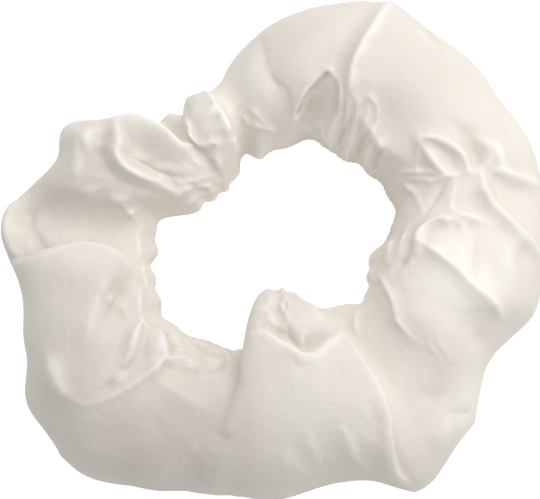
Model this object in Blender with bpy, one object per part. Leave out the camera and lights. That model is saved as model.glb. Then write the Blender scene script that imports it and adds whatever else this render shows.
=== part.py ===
"""A hair scrunchie: a wide satin sleeve gathered on a flat elastic ring, lying on its side.

Metres, +Z up. The origin is under the middle of the ring, on the surface that it lies on.
A place on the sleeve is an angle (degrees, counter-clockwise from +X seen from above) and a turn
(the share of the way round the tube: 0 at the hole, 0.25 over the top, 0.5 at the rim, 0.75 below).
"""
from collections import namedtuple
from math import pi

import bmesh
import bpy
import numpy as np

# Ring
RIM_RADIUS = 0.057
HOLE_RADIUS = 0.025
TUBE_HEIGHT = 0.030

# Cloth
WALL = 0.0012
SEAM_GAP = 0.0004
FOLD_HEIGHT = 0.0036
FOLD_WIDTH = 0.0100
FOLD_CRISPNESS = 1.7

# Pleats pulled up round the hole, and softer flutes down the rim. A reach is in turns, and each wander
# shifts the pleats round the ring: how many times it goes to and fro, how far, and where it starts.
Wander = namedtuple("Wander", "times amount start")
GATHER_DEPTH = 0.0011
GATHER_COUNT = 26
GATHER_REACH = 0.10
GATHER_WANDER = (Wander(2, 1.3, 0.7), Wander(5, 0.9, 2.0))
FLUTE_DEPTH = 0.0012
FLUTE_COUNT = 17
FLUTE_MIDDLE = 0.62
FLUTE_REACH = 0.13
FLUTE_WANDER = (Wander(3, 1.6, 1.1), Wander(7, 0.8, 0.0))

# Elastic ring
ELASTIC_WIDTH = 0.0050
ELASTIC_THICKNESS = 0.0010
CLEARANCE = 0.0003

# Roundness of the tube's section
TOP_FULLNESS = 0.86
BOTTOM_FULLNESS = 0.75
REST_PRESS = 0.0030
REST_BLEND = 0.0012
REST_SINK = 0.0002

# Mesh. The lining is the inside of the cloth, and has one section for two of the outside.
SLEEVE_SECTIONS = 160
TOP_STRIPS = 18
BOTTOM_STRIPS = 9
LINING_TOP_STRIPS = 8
LINING_BOTTOM_STRIPS = 6
ELASTIC_SECTIONS = 60
LINING_LOOK_ROUND = (-4.5, -2.25, 0, 2.25, 4.5)
LINING_LOOK_TURNS = (-0.03, 0, 0.03)

SATIN_COLOUR = (0.80, 0.75, 0.69, 1.0)
SATIN_ROUGHNESS = 0.45
ELASTIC_COLOUR = (0.86, 0.84, 0.81, 1.0)
ELASTIC_ROUGHNESS = 0.85

# Sections of the tube. hole is a share of HOLE_RADIUS and rim of RIM_RADIUS; crown, edge and brim are
# the heights of the top, the hole's edge and the rim's edge as shares of TUBE_HEIGHT; peak is the
# crown's place as a share of the tube's width, and sway leans the hole's edge round the ring, as a
# share of HOLE_RADIUS.
Section = namedtuple("Section", "angle hole rim crown peak edge brim sway")
SECTIONS = (
    Section(0, .84, 1.00, .87, .50, .30, .40, 0),
    Section(11, 1.00, 1.00, .83, .50, .30, .40, 0),
    Section(22, 1.08, 1.03, .83, .50, .30, .40, 0),
    Section(35, 1.06, 1.01, .87, .50, .30, .40, 0),
    Section(48, 1.03, 1.00, .93, .50, .30, .43, 0),
    Section(60, .98, 1.00, .97, .50, .30, .43, 0),
    Section(70, 1.02, .98, .97, .50, .30, .43, 0),
    Section(80, .94, .92, .95, .50, .30, .43, 0),
    Section(90, .88, .84, .87, .50, .30, .43, 0),
    Section(98, .82, .775, .77, .50, .30, .40, 0),
    Section(106, .88, .675, .66, .50, .30, .37, 0),
    Section(114, .76, .64, .72, .50, .30, .33, 0),
    Section(120, .70, .645, .74, .50, .30, .37, 0),
    Section(124, .69, .60, .72, .50, .30, .37, 0),
    Section(128, .67, .64, .68, .50, .30, .37, 0),
    Section(134, .68, .655, .72, .50, .30, .37, 0),
    Section(144, .72, .815, .78, .50, .30, .40, 0),
    Section(149, .73, .895, .80, .50, .30, .40, 0),
    Section(158, .87, .885, .73, .50, .30, .37, 0),
    Section(165, 1.02, .93, .66, .50, .30, .37, 0),
    Section(172, 1.01, 1.00, .61, .50, .30, .40, 0),
    Section(180, 1.00, 1.00, .64, .50, .30, .40, 0),
    Section(188, 1.05, .95, .80, .50, .30, .40, 0),
    Section(195, 1.04, .95, .86, .50, .30, .40, 0),
    Section(203, 1.06, 1.00, .90, .50, .30, .40, 0),
    Section(211, 1.08, 1.06, .90, .50, .30, .40, 0),
    Section(220, 1.04, 1.09, .90, .50, .30, .40, 0),
    Section(228, .99, 1.085, .90, .50, .30, .40, 0),
    Section(237, .95, 1.04, .90, .50, .30, .40, 0),
    Section(244, .91, 1.00, .90, .49, .33, .40, 0),
    Section(250, .92, .935, .91, .46, .37, .40, 0),
    Section(254, .88, .93, .93, .44, .43, .40, -.01),
    Section(257, .66, .935, .97, .42, .47, .40, -.08),
    Section(261, .49, .925, 1.00, .40, .52, .40, -.10),
    Section(266, .38, .92, 1.02, .40, .53, .40, -.05),
    Section(273, .37, .91, 1.02, .40, .53, .40, 0),
    Section(284, .38, .90, 1.00, .40, .50, .40, 0),
    Section(293, .43, .935, .93, .44, .47, .40, 0),
    Section(300, .51, 1.02, .86, .48, .40, .40, 0),
    Section(308, .64, 1.015, .76, .50, .33, .40, 0),
    Section(316, .68, .98, .76, .50, .30, .40, 0),
    Section(324, .80, .93, .80, .50, .30, .40, 0),
    Section(332, .86, .90, .86, .50, .30, .40, 0),
    Section(340, .83, .925, .87, .50, .30, .40, 0),
    Section(346, .81, .99, .87, .50, .30, .40, 0),
    Section(353, .80, 1.00, .87, .50, .30, .40, 0),
)

# Folds in the cloth. path holds angle, turn and share of the height along the crest; height is a share
# of FOLD_HEIGHT. left and right say how far each flank reaches, walking along the path on the outside,
# and crest how round it is, as shares of FOLD_WIDTH; lean tips the crest to the left.
Fold = namedtuple("Fold", "name path height left right crest lean")
FOLDS = (
    Fold("left lobe over the valley",
         ((183, .47, 0), (185, .42, .5), (186, .37, .8), (186, .33, 1), (185.5, .29, 1), (185, .25, 1),
          (186, .20, .9), (189, .155, .6), (193, .12, 0)), .95, .28, 1.6, .10, .6),
    Fold("valley", ((162, .42, 0), (169, .36, 1), (173, .28, 1), (175, .19, .7), (177, .13, 0)),
         -.6, 1.1, .9, .60, 0),
    Fold("left rim", ((168, .45, 0), (173, .435, 1), (179, .42, .9), (184, .40, 0)), .7, .4, .4, .10, 0),
    Fold("upper left lobe, upper ridge",
         ((146, .40, .2), (141, .36, .9), (137.5, .31, 1), (135, .27, .9), (130, .25, 0)),
         .7, .5, .4, .10, .1),
    Fold("upper left lobe, lower ridge",
         ((144, .37, 0), (147.5, .30, .9), (151.5, .265, 1), (153, .22, .9), (152, .15, 0)),
         .35, .35, .4, .08, .1),
    Fold("upper left lobe, hollow between the ridges",
         ((141, .33, 0), (143, .28, 1), (146.5, .24, 1), (148, .19, .7), (148, .14, 0)),
         -.4, .6, .5, .25, 0),
    Fold("hollow behind the knot", ((131, .44, .3), (131, .36, 1), (131, .30, .8), (128, .26, 0)),
         -.7, .45, .45, .20, 0),
    Fold("knot, edge over the dome",
         ((115, .46, 0), (114.5, .37, .7), (114.5, .28, 1), (113, .19, .6), (110, .13, 0)),
         .5, .3, .9, .07, .2),
    Fold("knot, left edge", ((123, .45, .2), (125, .38, 1), (126.5, .29, 1), (124, .24, 0)),
         .35, .5, .3, .06, -.2),
    Fold("dome, soft crease", ((94, .44, 0), (93.5, .33, 1), (90, .22, 1), (84, .12, .3)),
         -.1, .5, .4, .10, 0),
    Fold("pleat pocket", ((73, .205, 0), (73.5, .17, 1), (75, .12, 1), (77, .08, .5)),
         -.4, .35, .3, .10, 0),
    Fold("upper right lobe over the dome",
         ((64, .47, .4), (64, .36, .9), (64.5, .27, 1), (63, .21, .9), (59, .14, 0)),
         .7, 2.0, .5, .08, -.4),
    Fold("upper right lobe, crest by the hole",
         ((60, .18, 0), (54, .155, .8), (46, .135, 1), (38, .135, .8), (31, .15, 0)), .3, .5, .45, .08, 0),
    Fold("right side, leaf, outer ridge",
         ((36, .20, 0), (33, .225, .9), (28, .245, 1), (24, .252, .9), (20, .255, 0)), .3, .4, .4, .06, 0),
    Fold("right side, leaf, inner ridge",
         ((35, .195, 0), (30, .195, .9), (25, .197, 1), (21, .207, 0)), .3, .4, .4, .06, 0),
    Fold("right side, hollow above the junction",
         ((35, .27, 0), (29, .28, .6), (24, .28, 1), (20.5, .27, 0)), -.35, .6, .5, .25, 0),
    Fold("right side, light band", ((27, .30, 0), (24, .315, 1), (20, .325, 1), (15, .34, 0)),
         .3, .4, .5, .12, 0),
    Fold("right side, long ridge",
         ((18, .28, 0), (14, .282, .9), (10, .297, 1), (6, .325, 1), (1, .375, .9), (358, .42, .3)),
         .35, .4, .4, .06, 0),
    Fold("right side, ridge to the rim", ((18, .31, 0), (16, .35, .9), (14, .43, .5)), .3, .4, .4, .06, 0),
    Fold("right side, arch",
         ((356, .17, 0), (2, .165, .9), (6, .173, 1), (7.4, .20, 1), (6.8, .25, .6), (4, .30, 0)),
         .3, .4, .35, .06, 0),
    Fold("right side, roof ridge",
         ((359, .17, 0), (356, .20, .8), (351, .24, 1), (347.5, .275, 1), (345, .32, 1), (343, .36, .7),
          (340.5, .41, 0)), .3, .9, .9, .06, 0),
    Fold("lower right lobe, dent below the roof",
         ((338, .27, 0), (336, .33, 1), (334, .39, .8), (333, .44, 0)), -.12, .9, .8, .3, 0),
    Fold("front lobe over the lower right one",
         ((289, .09, 0), (295.5, .145, .7), (299, .20, 1), (300.5, .25, 1), (300, .30, 1), (298, .35, .9),
          (297, .41, .7), (299, .47, 0)), .85, .28, 1.6, .08, .6),
    Fold("front lobe, hood over the hole",
         ((262, .178, 0), (270, .195, 1), (280, .222, 1), (284.5, .232, 1), (290, .213, 1), (297, .18, 0)),
         -.55, .65, .14, .05, 0),
    Fold("front lobe, left hollow", ((251, .15, 0), (254, .20, 1), (257, .27, 0)), -.12, .5, .5, .20, 0),
    Fold("lower left lobe, ridge", ((228, .20, 0), (236, .213, 1), (243, .228, 1), (250, .262, 0)),
         .15, .5, .5, .10, 0),
    Fold("left lobe, ridge", ((206, .36, 0), (211, .345, 1), (219, .335, 0)), .25, .6, .6, .15, 0),
    Fold("left lobe, hollow by the hole", ((192, .17, 0), (198, .165, 1), (205, .20, .6), (210, .24, 0)),
         -.3, .8, .7, .3, 0),
    Fold("folds by the lower left of the hole, first", ((210, .125, 0), (215, .17, 1), (220, .215, 0)),
         .35, .4, .35, .08, 0),
    Fold("folds by the lower left of the hole, second",
         ((219, .12, 0), (225, .15, 1), (227.5, .18, .8), (224, .28, 0)), .35, .4, .4, .08, 0),
)


def along_table(column, angle):
    """One column of SECTIONS as a smooth closed curve, read at the angles in degrees."""
    knots = np.array([section.angle for section in SECTIONS], float)
    values = np.array([getattr(section, column) for section in SECTIONS], float)
    knots = np.concatenate([knots[-2:] - 360, knots, knots[:2] + 360])
    values = np.concatenate([values[-2:], values, values[:2]])
    step = np.diff(knots)
    rise = np.diff(values) / step
    slope = np.zeros(len(knots))
    slope[1:-1] = (rise[:-1] * step[1:] + rise[1:] * step[:-1]) / (step[1:] + step[:-1])
    angle = np.mod(angle, 360)
    i = np.clip(np.searchsorted(knots, angle, side="right") - 1, 1, len(knots) - 3)
    return hermite((angle - knots[i]) / step[i], step[i], values[i], values[i + 1], slope[i], slope[i + 1])


def hermite(t, step, start, end, start_slope, end_slope):
    """Cubic between two knots, t running from 0 to 1."""
    ends = (1 + 2 * t) * (1 - t) ** 2 * start + t * t * (3 - 2 * t) * end
    return ends + step * (t * (1 - t) ** 2 * start_slope + t * t * (t - 1) * end_slope)


def smooth_max(a, b, blend):
    return 0.5 * (a + b + np.sqrt((a - b) ** 2 + blend ** 2))


def tube(angle, turn):
    """Points of the tube without its folds."""
    phi = 2 * pi * turn
    upper = np.sin(phi) > 0
    bulge = np.abs(np.sin(phi))
    share = 0.5 * (1 - np.cos(phi))
    share = np.where(upper, share ** (np.log(along_table("peak", angle)) / np.log(0.5)), share)
    hole = along_table("hole", angle) * HOLE_RADIUS
    rim = along_table("rim", angle) * RIM_RADIUS
    radius = hole + (rim - hole) * share
    crown = along_table("crown", angle) * TUBE_HEIGHT
    edge = along_table("edge", angle) * TUBE_HEIGHT
    level = edge + (along_table("brim", angle) * TUBE_HEIGHT - edge) * share
    top = level + (crown - level) * bulge ** TOP_FULLNESS
    bottom = smooth_max(level - (level + REST_PRESS) * bulge ** BOTTOM_FULLNESS, 0, REST_BLEND)
    bottom = np.maximum(bottom - REST_SINK, 0)
    side = along_table("sway", angle) * HOLE_RADIUS * (1 - share) ** 2
    around = np.radians(angle)
    x = radius * np.cos(around) + side * -np.sin(around)
    y = radius * np.sin(around) + side * np.cos(around)
    return np.stack([x, y, np.where(upper, top, bottom)], axis=-1)


def unit(vectors):
    return vectors / np.maximum(np.linalg.norm(vectors, axis=-1, keepdims=True), 1e-12)


def tube_normal(angle, turn):
    """Outward normal of the tube."""
    nearby_angle = 0.5
    nearby_turn = 0.004
    along = tube(angle + nearby_angle, turn) - tube(angle - nearby_angle, turn)
    across = tube(angle, turn + nearby_turn) - tube(angle, turn - nearby_turn)
    return unit(np.cross(across, along))


def crest_line(path, count=40):
    """Evenly spread rows of angle, turn and share of the height on a smooth curve through the path."""
    knots = np.array(path, float)
    knots[:, 0] = np.degrees(np.unwrap(np.radians(knots[:, 0])))
    place = np.arange(len(knots), dtype=float)
    slope = np.gradient(knots, axis=0)
    at = np.linspace(0, place[-1], count)
    i = np.minimum(at.astype(int), len(knots) - 2)
    t = (at - i)[:, None]
    return hermite(t, 1.0, knots[i], knots[i + 1], slope[i], slope[i + 1])


def fold_shift(fold, points, normals):
    """How far one fold moves each point of the tube."""
    line = crest_line(fold.path)
    crest = tube(line[:, 0], line[:, 1])
    out = tube_normal(line[:, 0], line[:, 1])
    to_left = np.cross(out, unit(np.gradient(crest, axis=0)))
    away = points[..., None, :] - crest
    nearest = (away ** 2).sum(axis=-1).argmin(axis=-1)
    offset = np.take_along_axis(away, nearest[..., None, None], axis=-2)[..., 0, :]
    distance = np.linalg.norm(offset, axis=-1)
    on_left = (offset * to_left[nearest]).sum(axis=-1) > 0
    roundness = fold.crest * FOLD_WIDTH
    reach = np.where(on_left, fold.left, fold.right) * FOLD_WIDTH
    fall = (np.hypot(distance, roundness) - roundness) / (np.hypot(reach, roundness) - roundness)
    amount = fold.height * FOLD_HEIGHT * line[nearest, 2] * np.clip(1 - fall, 0, 1) ** FOLD_CRISPNESS
    same_side = (out[nearest] * normals).sum(axis=-1) > -0.2
    amount = np.where(same_side, amount, 0)
    return amount[..., None] * (normals + fold.lean * to_left[nearest])


def pleat_wave(angle, count, wanders):
    """Uneven pleats round the ring, from -1 to 1."""
    around = np.radians(angle)
    phase = count * around
    for wander in wanders:
        phase = phase + wander.amount * np.sin(wander.times * around + wander.start)
    return np.cos(phase)


def gathers(angle, turn):
    """Height of the small pleats that the elastic pulls up round the hole."""
    from_seam = np.minimum(np.mod(turn, 1), np.mod(-turn, 1))
    fade = np.exp(-(from_seam / GATHER_REACH) ** 2)
    return GATHER_DEPTH * pleat_wave(angle, GATHER_COUNT, GATHER_WANDER) * fade


def flutes(angle, turn):
    """Height of the soft folds down the rim and under it."""
    fade = np.exp(-((turn - FLUTE_MIDDLE) / FLUTE_REACH) ** 2)
    return FLUTE_DEPTH * pleat_wave(angle, FLUTE_COUNT, FLUTE_WANDER) * fade


def outer_surface(angle, turn):
    """Points of the cloth's outside."""
    points = tube(angle, turn)
    normals = tube_normal(angle, turn)
    moved = points + (gathers(angle, turn) + flutes(angle, turn))[..., None] * normals
    for fold in FOLDS:
        moved = moved + fold_shift(fold, points, normals)
    moved[..., 2] = np.maximum(moved[..., 2], 0)
    return moved


def inner_surface(angle, turn):
    """Points of the cloth's inside, a wall deeper than the lowest cloth close by."""
    normals = tube_normal(angle, turn)
    lowest = np.full(angle.shape, np.inf)
    for angle_step in LINING_LOOK_ROUND:
        for turn_step in LINING_LOOK_TURNS:
            near_angle = angle + angle_step
            near_turn = turn + turn_step
            rise = outer_surface(near_angle, near_turn) - tube(near_angle, near_turn)
            height = (rise * tube_normal(near_angle, near_turn)).sum(axis=-1)
            lowest = np.minimum(lowest, height)
    inner = tube(angle, turn) + (lowest - WALL)[..., None] * normals
    inner[..., 2] = np.maximum(inner[..., 2], WALL)
    return inner


def turns(top_strips, bottom_strips):
    """Turns of the rows of points, from the seam over the top and back to the seam."""
    over = np.linspace(0, 0.5, top_strips + 1)
    under = np.linspace(0.5, 1, bottom_strips + 1)
    return np.concatenate([over, under[1:]])


def open_seam(rows):
    """Parts the first and the last row of points, which meet at the seam."""
    rows[:, 0, 2] += SEAM_GAP / 2
    rows[:, -1, 2] -= SEAM_GAP / 2
    return rows


def add_rows(mesh, rows):
    return [[mesh.verts.new(point) for point in row] for row in rows]


def add_strips(mesh, rows, outward):
    """Quads between each row of points and the next, round the ring."""
    for i, row in enumerate(rows):
        following = rows[(i + 1) % len(rows)]
        for j in range(len(row) - 1):
            corners = (row[j], row[j + 1], following[j + 1], following[j])
            mesh.faces.new(corners if outward else corners[::-1])


def add_lip(mesh, outside, inside, upper):
    """Closes the cloth's edge at the seam, with two outside points for each inside one."""
    count = len(inside)
    for k in range(count):
        a, b, c = (outside[(2 * k + n) % len(outside)] for n in range(3))
        d = inside[k]
        e = inside[(k + 1) % count]
        for corners in ((a, b, d), (b, e, d), (b, c, e)):
            mesh.faces.new(corners if upper else corners[::-1])


def add_object(name, mesh, colour, roughness):
    """Turns a bmesh into an object with its own plain material."""
    bmesh.ops.triangulate(mesh, faces=mesh.faces[:])
    data = bpy.data.meshes.new(name)
    mesh.to_mesh(data)
    mesh.free()
    data.shade_smooth()
    material = bpy.data.materials.new(name)
    material.use_nodes = True
    shader = material.node_tree.nodes["Principled BSDF"]
    shader.inputs["Base Color"].default_value = colour
    shader.inputs["Roughness"].default_value = roughness
    shader.inputs["Metallic"].default_value = 0.0
    data.materials.append(material)
    item = bpy.data.objects.new(name, data)
    bpy.context.scene.collection.objects.link(item)


def sleeve_points():
    """Rows of points on the outside and on the inside of the sleeve, its box centred on the origin."""
    outer_angle = np.arange(SLEEVE_SECTIONS) * 360 / SLEEVE_SECTIONS
    inner_angle = outer_angle[::2]
    outer = outer_surface(*np.meshgrid(outer_angle, turns(TOP_STRIPS, BOTTOM_STRIPS), indexing="ij"))
    lining_turns = turns(LINING_TOP_STRIPS, LINING_BOTTOM_STRIPS)
    inner = inner_surface(*np.meshgrid(inner_angle, lining_turns, indexing="ij"))
    corners = outer.reshape(-1, 3)
    centre = (corners.min(axis=0) + corners.max(axis=0)) / 2
    centre[2] = corners[:, 2].min()
    return open_seam(outer - centre), open_seam(inner - centre)


def make_sleeve(outer, inner):
    """The satin sleeve: one wall of cloth round a hollow, open along the seam at the hole."""
    mesh = bmesh.new()
    outside = add_rows(mesh, outer)
    inside = add_rows(mesh, inner)
    add_strips(mesh, outside, True)
    add_strips(mesh, inside, False)
    add_lip(mesh, [row[0] for row in outside], [row[0] for row in inside], True)
    add_lip(mesh, [row[-1] for row in outside], [row[-1] for row in inside], False)
    add_object("sleeve", mesh, SATIN_COLOUR, SATIN_ROUGHNESS)


def between_rows(points, near_row, far_row):
    """Points spread along the straight and the slanting edges between two rows of points."""
    share = np.linspace(0, 1, 33)[:, None, None]
    near = points[:, near_row]
    ends = [np.roll(points[:, far_row], step, axis=0) for step in (-1, 0, 1)]
    return np.concatenate([(near + share * (end - near)).reshape(-1, 3) for end in ends])


def taut_loop(points, gap):
    """Corners of the tightest loop round the points seen from above, a gap away from them."""
    step = 2 * pi / ELASTIC_SECTIONS
    way = np.arange(ELASTIC_SECTIONS) * step
    outward = np.stack([np.cos(way), np.sin(way)], axis=-1)
    onward = np.stack([-np.sin(way), np.cos(way)], axis=-1)
    reach = (points[:, :2] @ outward.T).max(axis=0) + gap
    aside = (np.roll(reach, -1) - reach * np.cos(step)) / np.sin(step)
    return reach[:, None] * outward + aside[:, None] * onward


def make_elastic(inner):
    """The flat elastic ring, pulled tight round the hole's edge inside the sleeve."""
    middle = np.median(inner[:, 0, 2])
    low = middle - ELASTIC_WIDTH / 2
    high = middle + ELASTIC_WIDTH / 2
    strips = ((0, 1), (1, 2), (-1, -2), (-2, -3))
    hole_side = np.concatenate([between_rows(inner, near, far) for near, far in strips])
    beside = hole_side[(hole_side[:, 2] > low - CLEARANCE) & (hole_side[:, 2] < high + CLEARANCE)]
    near_loop = taut_loop(beside, CLEARANCE)
    far_loop = taut_loop(beside, CLEARANCE + ELASTIC_THICKNESS)
    mesh = bmesh.new()
    rows = []
    for near, far in zip(near_loop, far_loop):
        corners = ((*far, low), (*near, low), (*near, high), (*far, high))
        rows.append([mesh.verts.new(corner) for corner in corners])
    for row in rows:
        row.append(row[0])
    add_strips(mesh, rows, True)
    add_object("elastic_ring", mesh, ELASTIC_COLOUR, ELASTIC_ROUGHNESS)


def main():
    for item in list(bpy.data.objects):
        bpy.data.objects.remove(item)
    outer, inner = sleeve_points()
    make_sleeve(outer, inner)
    make_elastic(inner)


main()
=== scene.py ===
from collections import namedtuple
from math import cos, pi, radians, sin

import bpy
import numpy as np
from mathutils import Matrix, Vector


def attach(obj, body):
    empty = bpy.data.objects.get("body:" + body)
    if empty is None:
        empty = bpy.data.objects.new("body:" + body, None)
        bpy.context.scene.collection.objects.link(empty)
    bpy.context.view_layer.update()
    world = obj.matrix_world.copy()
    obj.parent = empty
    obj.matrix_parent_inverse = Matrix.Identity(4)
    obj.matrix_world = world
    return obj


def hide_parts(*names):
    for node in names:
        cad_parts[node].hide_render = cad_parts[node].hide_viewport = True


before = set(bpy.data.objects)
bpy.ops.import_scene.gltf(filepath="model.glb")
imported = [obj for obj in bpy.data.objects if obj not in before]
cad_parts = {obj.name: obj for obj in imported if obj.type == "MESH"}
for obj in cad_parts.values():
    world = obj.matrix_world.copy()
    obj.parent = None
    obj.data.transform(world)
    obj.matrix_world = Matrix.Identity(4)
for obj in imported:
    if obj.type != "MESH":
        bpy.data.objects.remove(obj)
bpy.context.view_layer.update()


def table(row_type, rows):
    """Rows of plain values under the named columns of row_type."""
    return tuple(row_type(*row) for row in rows)


# Metres, +Z up. A place on the cloth is an angle (degrees, counter-clockwise from +X seen from above)
# and a turn (the share of the way round the tube: 0 at the hole, 0.25 over the top, 0.5 at the rim,
# 0.75 below), the same as in the part's source.

# Ring
RIM_RADIUS = 0.057
HOLE_RADIUS = 0.025
TUBE_HEIGHT = 0.03
RING_SHIFT = (0.0004, -0.00004)

# Cloth
# The height and width that a fold's shares are taken of, how crisp its flanks are and how round its
# crest. Each narrow crease is a low tent in the cloth with a fine crest along it.
FoldSize = namedtuple("FoldSize", "height width crispness roundness")
FOLD_SIZE = FoldSize(0.0036, 0.01, 1.7, 0.6)
TENT_SIZE = FoldSize(0.0034, 0.015, 1.4, 0.25)
CREASE_SIZE = FoldSize(0.0014, 0.0066, 2.0, 1.5)
# How finely a crest is followed, how softly the cloth beside it takes to one part of it, and how a
# fold narrows towards its ends and fades where the cloth turns away from its crest
CREST_POINTS = 100
PATH_BLEND = 0.0012
PATH_SPREAD = 0.35
FLANK_CHANGE = 2
TAPER = 0.5
FACING_GAIN = 2
FACING_START = 0.4
NEARBY_ANGLE = 0.5
NEARBY_TURN = 0.004
LEAST_LENGTH = 1e-12

# The cloth's flat size, and the seam: its turn, the gap left at it for a plain edge, and how many
# columns of points on each side are drawn to it.
CLOTH_WIDTH = 0.09
CLOTH_LENGTH = 0.38
SEAM_TURN = -0.055
SEAM_GAP = 0.0001
SEAM_COLUMNS = 12

# Pleats pulled up round the hole, and softer flutes down the rim. A reach is in turns, and each wander
# shifts the pleats round the ring: how many times it goes to and fro, how far, and where it starts.
Wander = namedtuple("Wander", "times amount start")
GATHER_DEPTH = 0.0003
GATHER_COUNT = 26
GATHER_REACH = 0.1
GATHER_WANDER = (Wander(2, 1.3, 0.7), Wander(5, 0.9, 2.0))
FLUTE_DEPTH = 0.0012
FLUTE_COUNT = 17
FLUTE_MIDDLE = 0.62
FLUTE_REACH = 0.13
FLUTE_WANDER = (Wander(3, 1.6, 1.1), Wander(7, 0.8, 0.0))

# Roundness of the tube's section
TOP_FULLNESS = 0.86
BOTTOM_FULLNESS = 0.75
REST_PRESS = 0.003
REST_BLEND = 0.0012
REST_SINK = 0.0002

# Looks
SATIN_COLOUR = (0.835, 0.792, 0.722, 1)
SATIN_SHADE = (0.785, 0.728, 0.662, 1)
SATIN_THREAD = (0.87, 0.835, 0.78, 1)
# Painted highlight for the crests and painted shade for the creases and hollows
SATIN_PAINTED_HIGHLIGHT = (0.96, 0.94, 0.9, 1)
SATIN_PAINTED_SHADE = (0.72, 0.66, 0.59, 1)
# Painted shade and painted light for the patches
SATIN_PAINTED_PATCH_SHADE = (0.66, 0.605, 0.545, 1)
SATIN_PAINTED_PATCH_LIGHT = (0.95, 0.915, 0.85, 1)
# How a value kept on the cloth tints it with painted light and shade: from where on, how much, and to which
# colours above and below 0
Tint = namedtuple("Tint", "value start share above below")
PAINTED_LIGHT_TINTS = (
    # tint: painted patches of light and shade
    Tint("tint", 0, 1, SATIN_PAINTED_PATCH_LIGHT, SATIN_PAINTED_PATCH_SHADE),
    # crest: painted highlight on the ridges and painted shade in the hollows
    Tint("crest", 0.05, 0.5, SATIN_PAINTED_HIGHLIGHT, SATIN_PAINTED_SHADE),
    # crease: painted highlight along the raised creases and painted shade along the grooves
    Tint("crease", 0.1, 0.3, SATIN_PAINTED_HIGHLIGHT, SATIN_PAINTED_SHADE),
)
THREAD_TINT = 0.2
CREASE_UNIT = 0.00022
CURVE_SMOOTHING = 6
CURVE_UNIT = 0.00022
NOISE_SPAN = (0.3, 0.7)
SATIN_ROUGHNESS = (0.42, 0.55)
SATIN_SPECULAR = 0.35
SATIN_SHEEN = 0.25
SATIN_SHEEN_ROUGHNESS = 0.4
FINE_DETAIL = 3.0
FINE_ROUGHNESS = 0.6
THREAD_SCALE = (130.0, 2600.0, 1)
SLUB_SCALE = (60.0, 700.0, 1)
CLOUD_SCALE = 60.0
THREAD_DEPTH = 0.00006
SLUB_DEPTH = 0.00007
MOTTLE_SCALE = 600.0
MOTTLE_DEPTH = 0.00014
ELASTIC_COLOUR = (0.86, 0.84, 0.81, 1)
ELASTIC_SHADE = (0.7, 0.68, 0.65, 1)
ELASTIC_ROUGHNESS = (0.8, 0.95)
RIB_SCALE = 300.0
RIB_DEPTH = 0.0003
FIBRE_SCALE = (2500.0, 2500.0, 600.0)
FIBRE_DEPTH = 0.0001

# Studio
PHOTO_WIDTH = 540
METRES_PER_PIXEL = 0.0002106
PHOTO_OFFSET = 5
CAMERA_ELEVATION = 82
CAMERA_DISTANCE = 0.9
CAMERA_AIM_HEIGHT = 0.012
Window = namedtuple("Window", "name place size power")
WINDOWS = (
    Window("right_window", (0.17, 0.06, 0.22), 0.24, 0.34),
    Window("back_window", (-0.03, 0.19, 0.20), 0.20, 0.20),
)
WINDOW_COLOUR = (1.0, 0.99, 0.97)
WHITE = (1, 1, 1, 1)
ROOM_LIGHT = 0.53
FLOOR_SIZE = 4.0
FLOOR_COLOUR = (0.9, 0.9, 0.9, 1)
FLOOR_GLOW = 0.7
HOLE_GLOW = 0.35
HOLE_GLOW_REACH = (0.01, 0.024)

# Patches of painted shade, darker below 0, and painted light, paler above it, on the cloth. reach is in
# metres.
PaintedLightPatch = namedtuple("PaintedLightPatch", "name angle turn reach tint")
PAINTED_LIGHT_PATCHES = table(PaintedLightPatch, (
    ("dome", 84, .31, .014, -.5), ("upper right, by the hole", 53, .08, .007, .6),
    ("upper right lobe", 52, .31, .014, -.5), ("below the roof", 349, .26, .01, .85),
    ("lower right rim", 321, .45, .009, .9), ("lower left lobe", 245, .25, .014, -.7),
    ("lower left rim", 236, .34, .012, -.35), ("left lobe, by the hole", 200, .19, .009, -.5),
    ("left lobe, low", 214, .315, .009, -.3), ("left rim", 196, .42, .009, .35),
    ("valley", 168, .25, .012, -.25), ("valley, by the rim", 171, .33, .007, -.45),
    ("upper left panel", 144.6, .24, .007, -.25), ("knot", 117, .33, .006, .3),
    ("beside the knot", 99.5, .3, .008, .35), ("front lobe", 281, .3, .009, .35),
    ("front lobe, top", 287, .205, .009, -.35), ("lower right lobe", 325, .2, .01, -.3),
    ("lower right lobe, low", 313, .36, .01, -.2),
))

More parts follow.
